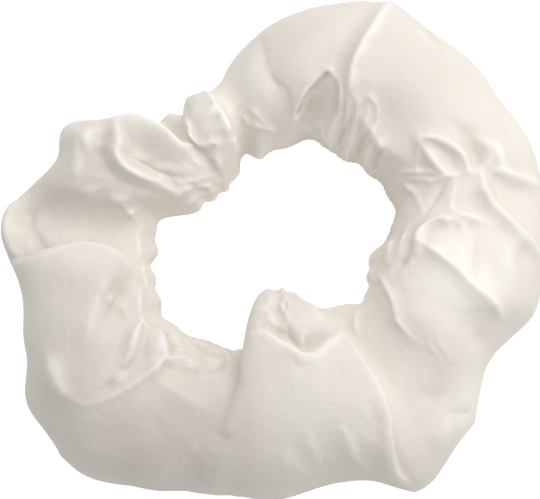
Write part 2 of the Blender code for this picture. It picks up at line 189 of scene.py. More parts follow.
# Sections of the tube. hole is a share of HOLE_RADIUS and rim of RIM_RADIUS; crown, brim and edge are
# the heights of the top, the rim's edge and the hole's edge as shares of TUBE_HEIGHT; peak is the
# crown's place as a share of the tube's width, and sway leans the hole's edge round the ring, as a
# share of HOLE_RADIUS. A row may leave out its last values where they are the usual ones.
Section = namedtuple("Section", "angle hole rim crown brim peak edge sway", defaults=(.5, .3, 0))
SECTIONS = table(Section, (
    (0, .84, 1, .87, .4), (11, 1, 1, .83, .4),
    (22, 1.08, 1.03, .83, .4), (35, 1.06, 1.01, .87, .4),
    (48, 1.03, 1, .93, .43), (60, .98, 1, .97, .43),
    (70, 1.02, .98, .97, .43), (80, .94, .92, .95, .43),
    (90, .88, .84, .87, .43), (98, .82, .775, .77, .4),
    (106, .88, .675, .66, .37), (114, .76, .64, .72, .33),
    (120, .7, .645, .74, .37), (124, .69, .6, .72, .37),
    (128, .67, .64, .68, .37), (134, .68, .655, .72, .37),
    (144, .72, .815, .78, .4), (149, .73, .895, .8, .4),
    (158, .87, .885, .73, .37), (165, 1.02, .93, .66, .37),
    (172, 1.01, 1, .61, .4), (180, 1, 1, .64, .4),
    (188, 1.05, .95, .8, .4), (195, 1.04, .95, .86, .4),
    (203, 1.06, 1, .9, .4), (211, 1.08, 1.06, .9, .4),
    (220, 1.04, 1.09, .9, .4), (228, .99, 1.085, .9, .4),
    (237, .95, 1.04, .9, .4), (244, .91, 1, .9, .4, .49, .33),
    (250, .92, .935, .91, .4, .46, .37), (254, .88, .93, .93, .4, .44, .43, -.01),
    (257, .66, .935, .97, .4, .42, .47, -.08), (261, .49, .925, 1, .4, .4, .52, -.1),
    (266, .38, .92, 1.02, .4, .4, .53, -.05), (273, .37, .91, 1.02, .4, .4, .53),
    (284, .38, .9, 1, .4, .4, .5), (293, .43, .935, .93, .4, .44, .47),
    (300, .51, 1.02, .86, .4, .48, .4), (308, .64, 1.015, .76, .4, .5, .33),
    (316, .68, .98, .76, .4), (324, .8, .93, .8, .4),
    (332, .86, .9, .86, .4), (340, .83, .925, .87, .4),
    (346, .81, .99, .87, .4), (353, .8, 1, .87, .4),
))

# Folds in the cloth. path holds angle, turn and share of the height along the crest, and a share that
# is left out is 0 at the ends and 1 between. height is a share of the fold size's height. left and
# right say how far each flank reaches, walking along the path on the outside, and crest how round it
# is, as shares of its width; lean tips the crest to the left.
Fold = namedtuple("Fold", "name path height left right crest lean", defaults=(0,))
FOLDS = table(Fold, (
    ("left lobe over the valley", ((183, .47), (185, .42, .5), (186, .37, .8), (186, .33), (185.5, .29),
     (185, .25), (186, .2, .9), (189, .155, .6), (193, .12)), .95, .28, 1.6, .1, .6),
    ("valley", ((162, .42), (169, .36), (173, .28), (175, .19, .7), (177, .13)), -.6, 1.1, .9, .6),
    ("left rim", ((168, .45), (173, .435), (179, .42, .9), (184, .4)), .7, .4, .4, .1),
    ("upper left lobe, upper ridge", ((146, .4, .2), (141, .36, .9), (137.5, .31), (135, .27, .9),
     (130, .25)), .7, .5, .4, .1, .1),
    ("upper left lobe, lower ridge", ((144, .37), (147.5, .3, .9), (151.5, .265), (153, .22, .9),
     (152, .15)), .35, .35, .4, .08, .1),
    ("upper left lobe, hollow between the ridges", ((141, .33), (143, .28), (146.5, .24), (148, .19, .7),
     (148, .14)), -.4, .6, .5, .25),
    ("hollow behind the knot", ((131, .44, .3), (131, .36), (131, .3, .8), (128, .26)), -.7, .45, .45, .2),
    ("knot, edge over the dome", ((115, .46), (114.5, .37, .7), (114.5, .28), (113, .19, .6), (110, .13)),
     .5, .3, .9, .07, .2),
    ("knot, left edge", ((123, .45, .2), (125, .38), (126.5, .29), (124, .24)), .35, .5, .3, .06, -.2),
    ("dome, soft crease", ((94, .44), (93.5, .33), (90, .22), (84, .12, .3)), -.1, .5, .4, .1),
    ("pleat pocket", ((73, .205), (73.5, .17), (75, .12), (77, .08, .5)), -.4, .35, .3, .1),
    ("upper right lobe over the dome", ((64, .47, .4), (64, .36, .9), (64.5, .27), (63, .21, .9), (59, .14)),
     .7, 2, .5, .08, -.4),
    ("upper right lobe, crest by the hole", ((60, .18), (54, .155, .8), (46, .135), (38, .135, .8),
     (31, .15)), .3, .5, .45, .08),
    ("right side, leaf, outer ridge", ((36, .2), (33, .225, .9), (28, .245), (24, .252, .9), (20, .255)),
     .3, .4, .4, .06),
    ("right side, leaf, inner ridge", ((35, .195), (30, .195, .9), (25, .197), (21, .207)), .3, .4, .4, .06),
    ("right side, hollow above the junction", ((35, .27), (29, .28, .6), (24, .28), (20.5, .27)),
     -.35, .6, .5, .25),
    ("right side, light band", ((27, .3), (24, .315), (20, .325), (15, .34)), .3, .4, .5, .12),
    ("right side, long ridge", ((18, .28), (14, .282, .9), (10, .297), (6, .325), (1, .375, .9),
     (358, .42, .3)), .35, .4, .4, .06),
    ("right side, ridge to the rim", ((18, .31), (16, .35, .9), (14, .43, .5)), .3, .4, .4, .06),
    ("right side, arch", ((356, .17), (2, .165, .9), (6, .173), (7.4, .2), (6.8, .25, .6), (4, .3)),
     .3, .4, .35, .06),
    ("right side, roof ridge", ((359, .17), (356, .2, .8), (351, .24), (347.5, .275), (345, .32),
     (343, .36, .7), (340.5, .41)), .3, .9, .9, .06),
    ("lower right lobe, dent below the roof", ((338, .27), (336, .33), (334, .39, .8), (333, .44)),
     -.12, .9, .8, .3),
    ("front lobe over the lower right one", ((289, .09), (295.5, .145, .7), (299, .2), (300.5, .25),
     (300, .3), (298, .35, .9), (297, .41, .7), (299, .47)), .85, .28, 1.6, .08, .6),
    ("front lobe, hood over the hole", ((262, .178), (270, .195), (280, .222), (284.5, .232), (290, .213),
     (297, .18)), -.55, .65, .14, .05),
    ("front lobe, left hollow", ((251, .15), (254, .2), (257, .27)), -.12, .5, .5, .2),
    ("lower left lobe, ridge", ((228, .2), (236, .213), (243, .228), (250, .262)), .15, .5, .5, .1),
    ("left lobe, ridge", ((206, .36), (211, .345), (219, .335)), .25, .6, .6, .15),
    ("left lobe, hollow by the hole", ((192, .17), (198, .165), (205, .2, .6), (210, .24)), -.3, .8, .7, .3),
    ("lower left of the hole, first", ((210, .125), (215, .17), (220, .215)), .35, .4, .35, .08),
    ("lower left of the hole, second", ((219, .12), (225, .15), (227.5, .18, .8), (224, .28)),
     .35, .4, .4, .08),
))

# Narrower creases
CREASES = table(Fold, (
    # left lobe
    ("light ridge", ((206, .36), (209.5, .345), (213.5, .343), (219, .335)), .22, .55, .5, .12),
    ("faint ridge", ((193, .205), (196.5, .222), (200.5, .235), (204, .248), (208, .262, .8), (212, .275)),
     .07, .35, .2, .05),
    ("shadow fold", ((193, .17), (198, .165), (204, .19, .7), (209, .23)), -.26, .9, .8, .3),
    ("small dent", ((193, .29), (196, .29), (198.5, .285)), -.08, .4, .4, .1),
    # valley
    ("light streak", ((163, .36), (164, .27), (163.5, .2, .7), (162, .16)), .12, .5, .5, .12),
    ("star", ((165.3, .172), (167, .145), (168.5, .13)), .16, .16, .16, .03),
    ("star arm", ((164, .13), (167, .145), (169.5, .155)), .12, .14, .14, .03),
    ("groove by the rim", ((167, .43), (171, .395), (175, .365), (178.5, .34), (182.5, .3, .5)),
     -.26, .45, .5, .05),
    # upper left lobe
    ("upper ridge", ((145, .4, .2), (140.3, .375), (138.7, .345), (137.2, .305), (135.8, .272),
     (132.8, .258, .8), (129.5, .25)), .24, .25, .22, .05, .1),
    ("lower ridge", ((144, .36, .3), (147, .305, .9), (150.3, .283), (152.5, .253), (153, .228), (153, .2),
     (152.6, .155, .7), (152, .12)), .3, .18, .22, .05),
    ("panel groove", ((143, .335), (146, .285, .9), (149, .26), (150.5, .235), (150.8, .2),
     (150.3, .165, .7), (149.5, .13)), -.32, .4, .55, .12),
    ("bump 1", ((148, .375), (150.5, .36), (153, .34)), .2, .3, .3, .14),
    ("bump 2", ((153.5, .375), (157, .355), (160, .335)), .2, .5, .5, .16),
    ("hollow", ((145, .345), (148.5, .325), (153.5, .31, .8), (157, .3)), -.24, .5, .5, .2),
    ("lower hollow", ((143, .19), (146.5, .165), (150, .14)), -.16, .6, .5, .16),
    # knot
    ("right ridge", ((114.5, .45), (114.5, .39, .8), (114.4, .33), (114.5, .28), (115, .24),
     (115.3, .205, .8), (113, .15, .5), (111, .1)), .3, .28, .3, .1, -.1),
    ("left ridge", ((124, .4, .4), (125, .345, .9), (126, .31), (126.6, .275), (125.5, .252),
     (122.8, .235, .8), (121, .215)), .18, .13, .15, .03),
    ("corner", ((121.5, .44), (121.5, .39), (122, .35)), -.14, .25, .25, .08),
    ("flap behind it", ((137, .45), (133, .45), (128, .435, .8), (126, .41)), .22, .2, .2, .06),
    # crumpled part
    ("crumple 1", ((131, .245), (126.5, .225), (122.5, .215), (119.5, .225)), -.08, .14, .14, .03),
    ("crumple 2", ((134.5, .235), (134, .205), (133.5, .17)), .08, .14, .14, .03),
    ("crumple 3", ((121, .2), (124, .165), (127, .12)), .14, .3, .3, .08),
    ("edge streak 1", ((153, .11), (149, .115), (141, .105), (131, .09, .8), (124, .08)),
     .12, .16, .18, .03),
    ("edge streak 2", ((158, .085), (151, .075), (142, .07), (133, .06)), .12, .14, .16, .03),
    ("edge streak 3", ((149, .135), (143, .13), (137, .12, .7), (130, .12)), .1, .14, .16, .03),
    # dome
    ("soft crease", ((93.7, .42), (93.7, .34), (92.6, .27), (90, .225), (86.3, .195), (84, .15, .8),
     (82.5, .1)), -.07, .2, .3, .04),
    ("small ridge 1", ((100.5, .215), (98.5, .19), (96.3, .16, .9), (94, .13)), .12, .12, .14, .03),
    ("small ridge 2", ((99.5, .17), (97.5, .145), (94, .12), (90.5, .095, .3)), .11, .13, .13, .03),
    ("small ridge 3", ((103.5, .195), (102.2, .168), (99.5, .152)), .12, .14, .14, .03),
    ("dark crease", ((91, .245), (89.3, .225), (88, .205)), -.04, .3, .3, .1),
    # petal shaped pleat mouth
    ("left edge", ((71.5, .215), (74, .193), (76, .173), (78, .15), (79.3, .13, .9), (80, .1)),
     .18, .08, .3, .02, -.3),
    ("left gap", ((72.5, .206, .4), (74.7, .183), (76.7, .162), (78.6, .138), (79.6, .11, .5)),
     -.45, .1, .07, .02),
    ("right edge", ((72.5, .212), (70, .203, .8), (67, .19), (65, .165), (63.3, .135, .8), (62.5, .1)),
     .16, .26, .12, .03, .2),
    ("hollow", ((73, .17), (74.5, .13), (76, .095), (78, .06, .4)), -.1, .45, .45, .2),
    ("streak", ((73, .19), (73.5, .155), (74, .11)), .1, .12, .12, .03),
    ("hole edge", ((69, .085), (67.5, .075), (65.5, .06)), .2, .3, .3, .1),
    # upper right lobe
    ("edge", ((64, .43, .3), (63.5, .34, .9), (64.2, .275), (64.2, .235), (61.8, .205), (59, .185, .5)),
     .08, .5, .12, .04, -.2),
    ("fan 1", ((60.7, .175), (60, .145), (58.7, .11)), .16, .12, .12, .03),
    ("fan 2", ((58.5, .185), (57, .15), (55.5, .11)), .12, .12, .12, .03),
    ("fan 3", ((56, .205), (52.8, .193), (50.5, .175), (48.8, .155, .8), (48, .13)), .12, .14, .16, .03),
    ("fan 4", ((54.5, .18), (53, .155), (51.5, .12)), .14, .12, .12, .03),
    ("fan 5", ((50, .145), (46, .135), (42, .125, .8), (39, .115)), .18, .2, .2, .04),
    ("dent by the rim", ((55, .43), (52, .4), (49, .385)), -.1, .3, .3, .1),
    ("faint", ((60, .37), (52, .385), (44, .39)), .06, .4, .4, .1),
    ("inner 1", ((64, .125), (63.3, .085), (62, .05, .9), (61, .02)), .3, .2, .2, .04),
    ("inner 2", ((59.3, .125), (58.7, .085), (57.6, .05, .9), (56.6, .02)), -.17, .2, .2, .04),
    ("inner 3", ((55, .125), (54.4, .085), (53.4, .05, .9), (52.4, .02)), .3, .2, .2, .04),
    ("inner 4", ((50.5, .125), (49.8, .085), (48.6, .05, .9), (47.6, .02)), -.17, .2, .2, .04),
    ("inner 5", ((46, .125), (45.2, .085), (43.8, .05, .9), (42.8, .02)), .32, .2, .2, .04),
    ("inner 6", ((41.5, .125), (40.8, .085), (39.5, .05, .9), (38.5, .02)), -.17, .2, .2, .04),
    # right side
    ("leaf, outer", ((36.5, .195), (35.2, .21, .9), (33, .226), (28.5, .245), (26, .25), (23.3, .253, .9),
     (20.2, .255, .3)), .17, .15, .17, .03),
    ("leaf, inner", ((35.5, .195), (33, .195, .9), (29.5, .195), (26.5, .196), (23.3, .2), (21, .207, .6),
     (20.3, .235)), .22, .17, .2, .03),
    ("leaf, left side", ((35, .19), (32, .175), (28.5, .155, .8), (26, .15)), .1, .13, .13, .03),
    ("leaf, upper line", ((30.5, .105), (28.5, .13), (26.3, .155), (23.7, .18, .9), (21.5, .195)),
     .13, .12, .14, .025),
    ("leaf, lower line", ((28, .1), (25, .135), (22, .165), (20.8, .19, .8), (20.8, .21)),
     .13, .12, .14, .025),
    ("leaf, hollow", ((32, .215), (28.5, .222), (24.5, .228, .8), (22, .23)), -.08, .25, .25, .08),
    ("triangle, left", ((29, .09), (24.3, .105), (20, .122), (15.5, .135, .8), (11, .15)),
     .12, .11, .12, .025),
    ("triangle, right", ((19.5, .205), (17.2, .19), (14.2, .17), (10.5, .152, .3)), -.14, .12, .12, .025),
    ("side line", ((20, .222), (17.5, .219, .9), (13.5, .216), (10.5, .215), (8.3, .235, .9), (6.8, .26),
     (5.2, .285, .6), (3.8, .3)), .12, .12, .14, .025),
    ("grey patch", ((34, .28), (29, .28, .5), (25, .28, .9), (22.3, .275), (20.8, .268)), -.2, .5, .45, .2),
    ("grey patch, lip", ((27, .298), (24.3, .303, .9), (21.8, .302), (20.3, .29, .9), (20, .265, .6),
     (20.3, .25)), .14, .3, .14, .03, .1),
    ("light band", ((26.5, .3), (23.7, .315), (20.8, .325), (17.3, .335, .6), (15, .34)), .14, .32, .32, .1),
    ("long ridge", ((18.7, .275), (17.5, .28, .9), (14.5, .281), (12, .289), (9.8, .297), (6.6, .323),
     (3.2, .35), (.3, .38), (357.5, .42, .4)), .15, .13, .14, .02),
    ("ridge to the rim", ((18.3, .3), (17.5, .32, .9), (16, .345), (14.6, .375), (13.5, .42, .8),
     (13.3, .46)), .15, .14, .16, .03),
    ("arch", ((355, .17), (359, .164, .9), (2.4, .165), (5, .168), (6.9, .182), (7.4, .2), (5.8, .215, .7),
     (4, .22)), .17, .12, .15, .025),
    ("arch, hook", ((7, .205), (6.2, .225), (4.6, .243), (3, .245)), .1, .11, .12, .02),
    ("arch, hollow", ((356, .185), (1, .185), (4, .19, .8), (5, .2)), -.08, .2, .25, .06),
    ("roof ridge", ((359.5, .17), (358, .187, .9), (355, .21), (352, .235), (350, .252), (347.7, .27),
     (346.5, .287), (345.2, .312), (343.8, .34, .9), (341.5, .385, .3)), .17, .28, .2, .03, .1),
    ("second ridge by the roof", ((357, .243), (355.3, .25), (353, .256), (350.3, .262)),
     .15, .16, .16, .03),
    ("dark panel", ((2.5, .27), (358, .275, .9), (353, .28), (349, .285, .8), (346.5, .3)),
     -.08, .3, .28, .1),
    ("bulge by the rim", ((3, .36), (357, .34), (351, .345), (347, .36)), .16, .6, .6, .3),
    ("inner side 1", ((4.5, .08), (.5, .095), (355, .105), (350.5, .11)), .14, .12, .14, .03),
    ("inner side 2", ((8, .115), (3, .125), (357.5, .13, .8), (354, .135)), .1, .14, .14, .03),
    ("inner side crevice", ((358, .155), (354, .15), (350, .14), (346, .128)), -.18, .16, .16, .04),
    # lower right lobe
    ("ridge", ((343.5, .09), (341, .107, .8), (338, .122), (333.4, .148), (329.3, .172), (326.6, .195, .8),
     (324.7, .235, .5), (325, .275)), .15, .17, .2, .03),
    ("ridge by the hole", ((345, .045), (342.7, .06), (341, .075, .6), (339, .085)), .14, .12, .14, .03),
    ("third ridge", ((321.5, .095), (318, .118), (315, .135), (312, .155)), .09, .11, .12, .02),
    ("wide dent", ((341, .3), (338, .345), (335.5, .385), (335, .43, .5)), -.1, 1, .7, .25),
    ("wrinkle 1", ((331, .27), (328, .29), (325.5, .33)), .07, .14, .14, .03),
    ("wrinkle 2", ((328, .26), (326, .275), (323.5, .31)), .07, .14, .14, .03),
    ("middle dent", ((319, .3), (315.5, .33), (313, .35)), -.14, .7, .6, .2),
    ("light patch", ((315, .37), (311.5, .39), (309, .41)), .16, .6, .5, .2),
    ("rim fold", ((320, .45), (318, .41), (315.5, .375)), -.1, .2, .2, .05),
    # front lobe
    ("loop", ((261, .185), (266.2, .198, .9), (271, .21), (277, .222), (282, .236), (284.5, .245),
     (288, .235, .9), (292, .218, .9), (298, .185)), .06, .12, .8, .03),
    ("step", ((264, .178), (271, .193, .9), (277, .206), (281.5, .22), (284.5, .23), (288, .218),
     (293, .198)), -.26, .4, .1, .03),
    ("top hollow", ((288, .17), (281, .155), (273, .15), (265, .155, .6), (260, .165)), -.2, .45, .45, .12),
    ("top curl", ((263, .17), (266.5, .172), (271, .18), (275, .19)), .08, .2, .2, .03),
    ("upright 2", ((291, .12), (293.5, .155), (297, .19)), .1, .3, .25, .05),
    ("low fold 1", ((279, .345), (280.3, .37), (281, .4, .7), (281.5, .43)), .11, .33, .33, .06),
    ("low fold 2", ((288.5, .35), (289.7, .375), (290.3, .4, .8), (291.5, .43)), .17, .33, .33, .06),
    ("low fold 3", ((272, .36), (272.6, .39), (272.5, .41)), .08, .38, .38, .08),
    ("low fold 4", ((275, .395), (276.5, .415), (278, .435)), .07, .33, .33, .06),
    ("low hollow 1", ((275.5, .355), (276.2, .38), (276.5, .4)), -.04, .29, .29, .06),
    ("low hollow 2", ((284.5, .365), (284.8, .39), (285.5, .42)), -.06, .36, .36, .08),
    ("low hollow 3", ((295.5, .35), (295, .375), (294.5, .395)), -.06, .39, .39, .08),
    ("side dent", ((296.5, .29), (297, .325), (296.5, .36)), -.12, .35, .3, .1),
    ("dark spot", ((277.5, .25), (279, .258), (281, .262)), -.1, .25, .25, .08),
    ("side wedge", ((251, .11), (252.5, .145), (254, .185, .8), (255, .22)), -.12, .3, .3, .1),
    # lower left lobe
    ("soft ridge", ((245.5, .31), (250, .35), (254.5, .385)), .07, .35, .35, .1),
    ("dent 1", ((251.5, .3), (254, .315), (256, .33)), -.1, .3, .3, .1),
    ("dent 2", ((236.5, .28), (238.5, .292), (240, .305)), -.06, .3, .3, .1),
    ("rim fold", ((251.5, .47, .5), (252, .44), (251, .4)), -.07, .3, .3, .1),
    # first knot by the lower left of the hole
    ("crest", ((211, .135), (212.7, .157, .9), (215.5, .176), (218.6, .198), (220, .215)),
     .16, .16, .2, .05),
    ("bump", ((209.5, .13), (211.3, .128), (213, .125)), .22, .2, .2, .05),
    ("gap", ((214.5, .14), (217.5, .158), (220.5, .183), (221, .225, .8), (221.2, .27, .6), (221, .3)),
     -.24, .2, .2, .06),
    ("petal", ((217.5, .12), (220.5, .14), (223.5, .16), (226, .18)), .4, .45, .45, .16),
    ("second crest", ((218, .12), (221.5, .135, .8), (225, .15), (227.2, .165), (227.7, .185, .8),
     (226.2, .23, .5), (225, .26, .4), (223.2, .295, .4), (221, .322, .4), (218, .337, .3), (214, .343)),
     .13, .13, .14, .04),
    ("right gap", ((221, .095), (223.5, .11), (226, .13), (228, .15)), -.34, .15, .15, .04),
    # second knot
    ("line", ((226, .178), (227.5, .17, .9), (229.5, .152), (232, .136, .8), (235, .138)),
     .08, .12, .14, .025),
    ("patch", ((228, .178), (230.5, .172), (234, .165, .9), (238, .158)), -.24, .22, .26, .08),
    ("crest", ((227.5, .125), (230.5, .12), (233.5, .105, .7), (235.5, .09)), .08, .22, .22, .06),
    ("hole", ((232, .085), (233.8, .088), (235.5, .092)), -.2, .16, .16, .05),
    # curl
    ("outer", ((234.5, .075), (237.5, .072), (241, .075), (244.5, .083), (247.3, .105, .9), (248.5, .13)),
     .14, .12, .14, .025),
    ("second line", ((235.5, .093), (238.5, .09), (242, .092), (245, .103, .8), (246.5, .115)),
     .12, .11, .12, .02),
    ("mound", ((240.5, .125), (243.7, .128), (245.7, .135)), .1, .24, .24, .08),
    ("edge gap", ((246.5, .11), (247.2, .132), (245.7, .152), (243, .162)), -.22, .13, .13, .03),
    # left inner side
    ("left inner fold 1", ((199, .105), (203, .115), (206.5, .12, .8), (209, .115)), .12, .14, .14, .03),
    ("left inner fold 2", ((203, .155), (206, .155), (209, .145)), .09, .13, .13, .03),
    ("left inner fold 3", ((187, .075), (192, .09), (198, .085, .8), (203, .07)), .12, .16, .16, .04),
    ("valley, inner fold", ((172, .105), (176, .115), (181, .11), (185, .1)), .12, .18, .16, .04),
))


def along_table(column, angle):
    """One column of SECTIONS as a smooth closed curve, read at the angles in degrees."""
    knots = np.array([section.angle for section in SECTIONS], float)
    values = np.array([getattr(section, column) for section in SECTIONS], float)
    knots = np.concatenate([knots[-2:] - 360, knots, knots[:2] + 360])
    values = np.concatenate([values[-2:], values, values[:2]])
    step = np.diff(knots)
    rise = np.diff(values) / step
    slope = np.zeros(len(knots))
    slope[1:-1] = (rise[:-1] * step[1:] + rise[1:] * step[:-1]) / (step[1:] + step[:-1])
    angle = np.mod(angle, 360)
    i = np.clip(np.searchsorted(knots, angle, side="right") - 1, 1, len(knots) - 3)
    t = (angle - knots[i]) / step[i]
    return hermite(t, step[i], values[i], values[i + 1], slope[i], slope[i + 1])


def hermite(t, step, start, end, start_slope, end_slope):
    """Cubic between two knots, t running from 0 to 1."""
    ends = (1 + 2 * t) * (1 - t) ** 2 * start + t * t * (3 - 2 * t) * end
    return ends + step * (t * (1 - t) ** 2 * start_slope + t * t * (t - 1) * end_slope)


def smooth_max(a, b, blend):
    return 0.5 * (a + b + np.sqrt((a - b) ** 2 + blend ** 2))


def tube(angle, turn):
    """Points of the tube without its folds."""
    turn = np.mod(turn, 1)
    phi = 2 * pi * turn
    upper = np.sin(phi) > 0
    bulge = np.abs(np.sin(phi))
    share = 0.5 * (1 - np.cos(phi))
    share = np.where(upper, share ** (np.log(along_table("peak", angle)) / np.log(0.5)), share)
    hole = along_table("hole", angle) * HOLE_RADIUS
    rim = along_table("rim", angle) * RIM_RADIUS
    radius = hole + (rim - hole) * share
    crown = along_table("crown", angle) * TUBE_HEIGHT
    edge = along_table("edge", angle) * TUBE_HEIGHT
    level = edge + (along_table("brim", angle) * TUBE_HEIGHT - edge) * share
    top = level + (crown - level) * bulge ** TOP_FULLNESS
    bottom = smooth_max(level - (level + REST_PRESS) * bulge ** BOTTOM_FULLNESS, 0, REST_BLEND)
    bottom = np.maximum(bottom - REST_SINK, 0)
    side = along_table("sway", angle) * HOLE_RADIUS * (1 - share) ** 2
    around = np.radians(angle)
    x = radius * np.cos(around) + side * -np.sin(around)
    y = radius * np.sin(around) + side * np.cos(around)
    return np.stack([x, y, np.where(upper, top, bottom)], axis=-1)


def unit(vectors):
    return vectors / np.maximum(np.linalg.norm(vectors, axis=-1, keepdims=True), LEAST_LENGTH)


def length(vectors):
    return np.linalg.norm(vectors, axis=-1)


def tube_normal(angle, turn):
    """Outward normal of the tube."""
    along = tube(angle + NEARBY_ANGLE, turn) - tube(angle - NEARBY_ANGLE, turn)
    across = tube(angle, turn + NEARBY_TURN) - tube(angle, turn - NEARBY_TURN)
    return unit(np.cross(across, along))


def crest_line(path):
    """Even rows of angle, turn and share of the height on a smooth curve through the path."""
    last = len(path) - 1
    knots = np.array([(*point, float(0 < i < last))[:3] for i, point in enumerate(path)])
    knots[:, 0] = np.degrees(np.unwrap(np.radians(knots[:, 0])))
    place = np.arange(len(knots), dtype=float)
    slope = np.gradient(knots, axis=0)
    at = np.linspace(0, place[-1], CREST_POINTS)
    i = np.minimum(at.astype(int), len(knots) - 2)
    t = (at - i)[:, None]
    return hermite(t, 1.0, knots[i], knots[i + 1], slope[i], slope[i + 1])


def fold_shift(fold, points, normals, size):
    """How far one fold moves each point of the tube."""
    line = crest_line(fold.path)
    crest = tube(line[:, 0], line[:, 1])
    out = tube_normal(line[:, 0], line[:, 1])
    to_left = np.cross(out, unit(np.gradient(crest, axis=0)))
    shift = np.zeros_like(points)
    left = fold.left * size.width
    right = fold.right * size.width
    widest = max(left, right)
    near = np.all((points > crest.min(axis=0) - widest) & (points < crest.max(axis=0) + widest), axis=-1)
    if not near.any():
        return shift
    away = points[near][:, None, :] - crest
    square = (away ** 2).sum(axis=-1)
    closest = square.min(axis=-1, keepdims=True)
    blend = np.sqrt(PATH_BLEND ** 2 + PATH_SPREAD ** 2 * closest)
    share = np.exp((closest - square) / (2 * blend ** 2))
    share /= share.sum(axis=-1, keepdims=True)
    distance = np.sqrt(closest[:, 0])
    side = (share * (away * to_left).sum(axis=-1)).sum(axis=-1)
    on_left = 0.5 + 0.5 * np.tanh(FLANK_CHANGE * side / blend[:, 0])
    strength = (share * line[:, 2]).sum(axis=-1)
    reach = (right + (left - right) * on_left) * (1 - TAPER + TAPER * np.clip(strength, 0, 1))
    roundness = fold.crest * size.width * size.roundness
    fall = (np.hypot(distance, roundness) - roundness) / (np.hypot(reach, roundness) - roundness)
    height = fold.height * size.height * strength
    facing = (share @ out * normals[near]).sum(axis=-1)
    facing = np.clip(facing * FACING_GAIN + FACING_START, 0, 1)
    amount = height * np.clip(1 - fall, 0, 1) ** size.crispness * facing
    shift[near] = amount[:, None] * (normals[near] + fold.lean * (share @ to_left))
    return shift


def pleat_wave(angle, count, wanders):
    """Uneven pleats round the ring, from -1 to 1."""
    around = np.radians(angle)
    phase = count * around
    for wander in wanders:
        phase = phase + wander.amount * np.sin(wander.times * around + wander.start)
    return np.cos(phase)


def from_hole(turn):
    """Distance from the hole's edge, in turns."""
    return np.minimum(np.mod(turn, 1), np.mod(-turn, 1))


def gathers(angle, turn):
    """Height of the small pleats that the elastic pulls up round the hole."""
    fade = np.exp(-(from_hole(turn) / GATHER_REACH) ** 2)
    return GATHER_DEPTH * pleat_wave(angle, GATHER_COUNT, GATHER_WANDER) * fade


def flutes(angle, turn):
    """Height of the soft folds down the rim and under it."""
    fade = np.exp(-((turn - FLUTE_MIDDLE) / FLUTE_REACH) ** 2)
    return FLUTE_DEPTH * pleat_wave(angle, FLUTE_COUNT, FLUTE_WANDER) * fade


# How much longer the cloth is than the ring, which makes it wrinkle: by the hole, how far in turns
# that reaches, and over the rest, each as a share of the amounts in LEVELS.
Surplus = namedtuple("Surplus", "angle hole reach rest")
SURPLUS = table(Surplus, (
    (0, .8, .11, .5), (30, .8, .1, .5), (45, .9, .1, .2), (62, 1.2, .13, .2),
    (75, .7, .09, .2), (95, .6, .08, .2), (110, .8, .12, .6), (125, 1, .14, 1),
    (145, .5, .08, .3), (165, .5, .07, .1), (180, .6, .07, .1), (195, .8, .09, .3),
    (215, 1, .13, .6), (240, 1, .12, .5), (252, .5, .08, .3), (275, .3, .07, .4),
    (295, .4, .08, .5), (320, .6, .09, .3), (340, .8, .1, .5),
))

# Creases down the outer side, below the rim. slant is how far one runs round the ring, in degrees, and
# the path holds the share of the slant, the turn and the share of the height.
SideCrease = namedtuple("SideCrease", "angle slant height")
SIDE_CREASES = table(SideCrease, (
    (8, 5, .3), (20, -4, -.3), (33, 3, .2), (52, -5, .3), (68, 4, -.25), (86, -4, .25),
    (101, 5, -.3), (118, -3, .3), (139, 4, -.3), (155, -5, .3), (172, 4, .2), (190, -4, -.3),
    (206, 5, .3), (223, -4, .25), (241, 5, -.25), (262, 4, .3), (283, -5, -.25), (301, 4, .3),
    (318, -4, .25), (337, 5, -.3), (351, -3, .3),
))
SIDE_PATH = ((-.4, .5, 0), (0, .56, .8), (.5, .61, 1), (1, .67, .7), (1.3, .72, 0))
SIDE_CREASE_WIDTH = 0.32
SIDE_CREASE_CREST = 0.05

# Where the cloth is looser below the rim, in turns, and how much longer than the plain tube it may get
RIM_MIDDLE = 0.6
RIM_REACH = 0.16
LONGEST_SLOPE = 1.5

# The cloth is settled on a coarse grid, then on finer ones. hole, rest, rim and across are surplus
# lengths, noise the height in metres of the first unevenness, bumps its count round and across, hold
# and crease_hold how firmly the cloth keeps to its form, and bend how stiff it is.
Level = namedtuple("Level", "round across_count rounds hole rest rim across noise bumps hold "
                            "crease_hold bend")
LEVELS = (
    Level(160, 39, 100, .12, .000, .01, .000, .0003, (60, 8), .10, .00, .020),
    Level(320, 77, 80, .16, .006, .02, .004, .0002, (150, 24), .08, .04, .020),
    Level(640, 153, 40, .18, .010, .03, .006, .0001, (330, 70), .05, .10, .012),
)
# How much closer the columns are over the top, the level whose grid takes the fine crests, and the
# height from which one is held in full
TOP_DENSITY = 0.5
TURN_SAMPLES = 1000
CREASES_FROM = 640
CREASE_MARK = 0.0004
# How firmly threads and diagonals keep their length, and how much firmer panels are held than gathers
PULL = 0.9
SHEAR = 0.3
LEAST_GAP = 1e-9
PANEL_HOLD = 0.25
# Low dimples all over, uneven creases, and their counts of bumps round and across
DIMPLE_DEPTH = 0.0006
DIMPLES = (44, 11)
DIMPLE_SEED = 0
CREASE_UNEVENNESS = 1.2
CREASE_BUMPS = (110, 28)
CREASE_SEED = 1
NOISE_SEED = 5


def strip_turns(count):
    """Turns of the grid's columns, closer together over the top than below."""
    turn = np.linspace(SEAM_TURN, 1 + SEAM_TURN, TURN_SAMPLES)
    place = turn - TOP_DENSITY * np.cos(2 * pi * turn) / (2 * pi)
    return np.interp(np.linspace(place[0], place[-1], count), place, turn)


def surplus_column(column, angle):
    """One column of SURPLUS, read at the angles in degrees."""
    knots = np.array([row.angle for row in SURPLUS], float)
    values = np.array([getattr(row, column) for row in SURPLUS], float)
    return np.interp(angle, np.concatenate([knots - 360, knots, knots + 360]), np.tile(values, 3))


